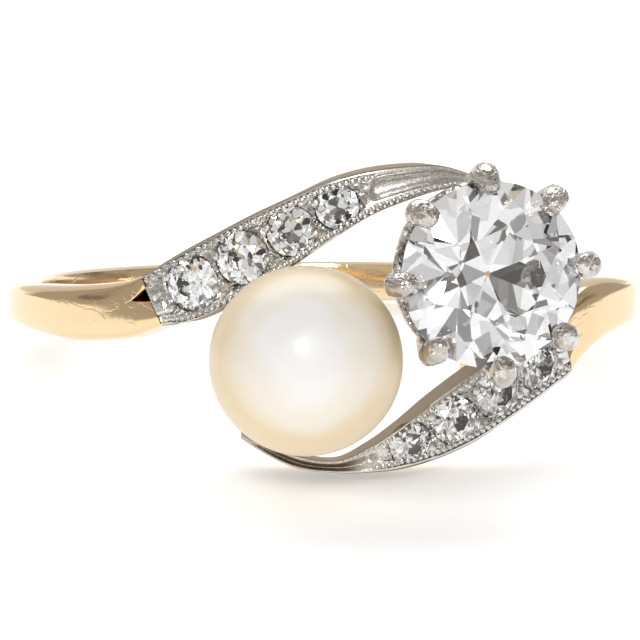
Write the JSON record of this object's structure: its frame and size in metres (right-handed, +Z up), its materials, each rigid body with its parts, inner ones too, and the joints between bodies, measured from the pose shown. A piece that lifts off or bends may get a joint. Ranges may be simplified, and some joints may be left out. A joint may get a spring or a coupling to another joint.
{
  "type": "finger ring",
  "caption": "Bypass finger ring whose two crossing stone-set shoulders hold a round pearl beside an old-cut diamond in a claw coronet.",
  "frame": {"origin": "middle of the box's underside, on the surface that the ring lies on", "axes": "the ring lies on its side: the two heads face -Y, the back of the band faces +Y, +X is to the right seen from the heads, +Z is up"},
  "size_m": [0.0196, 0.0248, 0.01],
  "materials": {
    "gold": "polished yellow gold",
    "platinum": "polished platinum",
    "diamond": "clear faceted stone",
    "pearl": "cream pearl lustre"
  },
  "bodies": {
    "root": {"shank": "gold", "upper_shoulder": "platinum", "lower_shoulder": "platinum", "coronet": "platinum", "main_stone": "diamond", "pearl_cup": "gold", "pearl": "pearl", "upper_stone_1": "diamond", "upper_stone_2": "diamond", "upper_stone_3": "diamond", "upper_stone_4": "diamond", "lower_stone_1": "diamond", "lower_stone_2": "diamond", "lower_stone_3": "diamond", "lower_stone_4": "diamond"}
  },
  "joints": []
}
